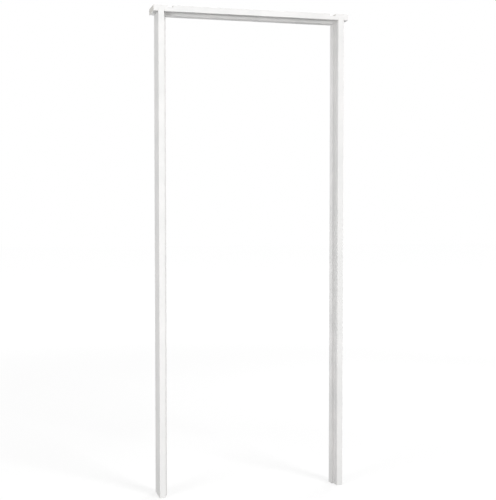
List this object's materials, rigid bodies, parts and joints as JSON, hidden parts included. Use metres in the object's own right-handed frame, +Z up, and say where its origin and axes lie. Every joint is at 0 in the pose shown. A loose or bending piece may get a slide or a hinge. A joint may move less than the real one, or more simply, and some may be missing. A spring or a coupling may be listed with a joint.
{
  "type": "door lining",
  "caption": "Interior door lining: a housed head with horns, upright legs, and planted stops that leave a rebate for the door.",
  "frame": {"origin": "on the floor, midway between the legs and midway through the lining's depth", "axes": "+Z up the legs, +X across the doorway, -Y towards the side with the door's rebate"},
  "size_m": [0.856, 0.108, 2.067],
  "materials": {
    "head_primer": "matte",
    "leg_primer": "matte",
    "stop_primer": "matte",
    "zinc_plated_steel": "satin",
    "galvanised_steel": "satin"
  },
  "bodies": {
    "root": {"head": "head_primer", "left_leg": "leg_primer", "right_leg": "leg_primer", "head_stop": "stop_primer", "left_stop": "stop_primer", "right_stop": "stop_primer", "head_screws": "zinc_plated_steel", "stop_brads": "galvanised_steel"}
  },
  "joints": []
}
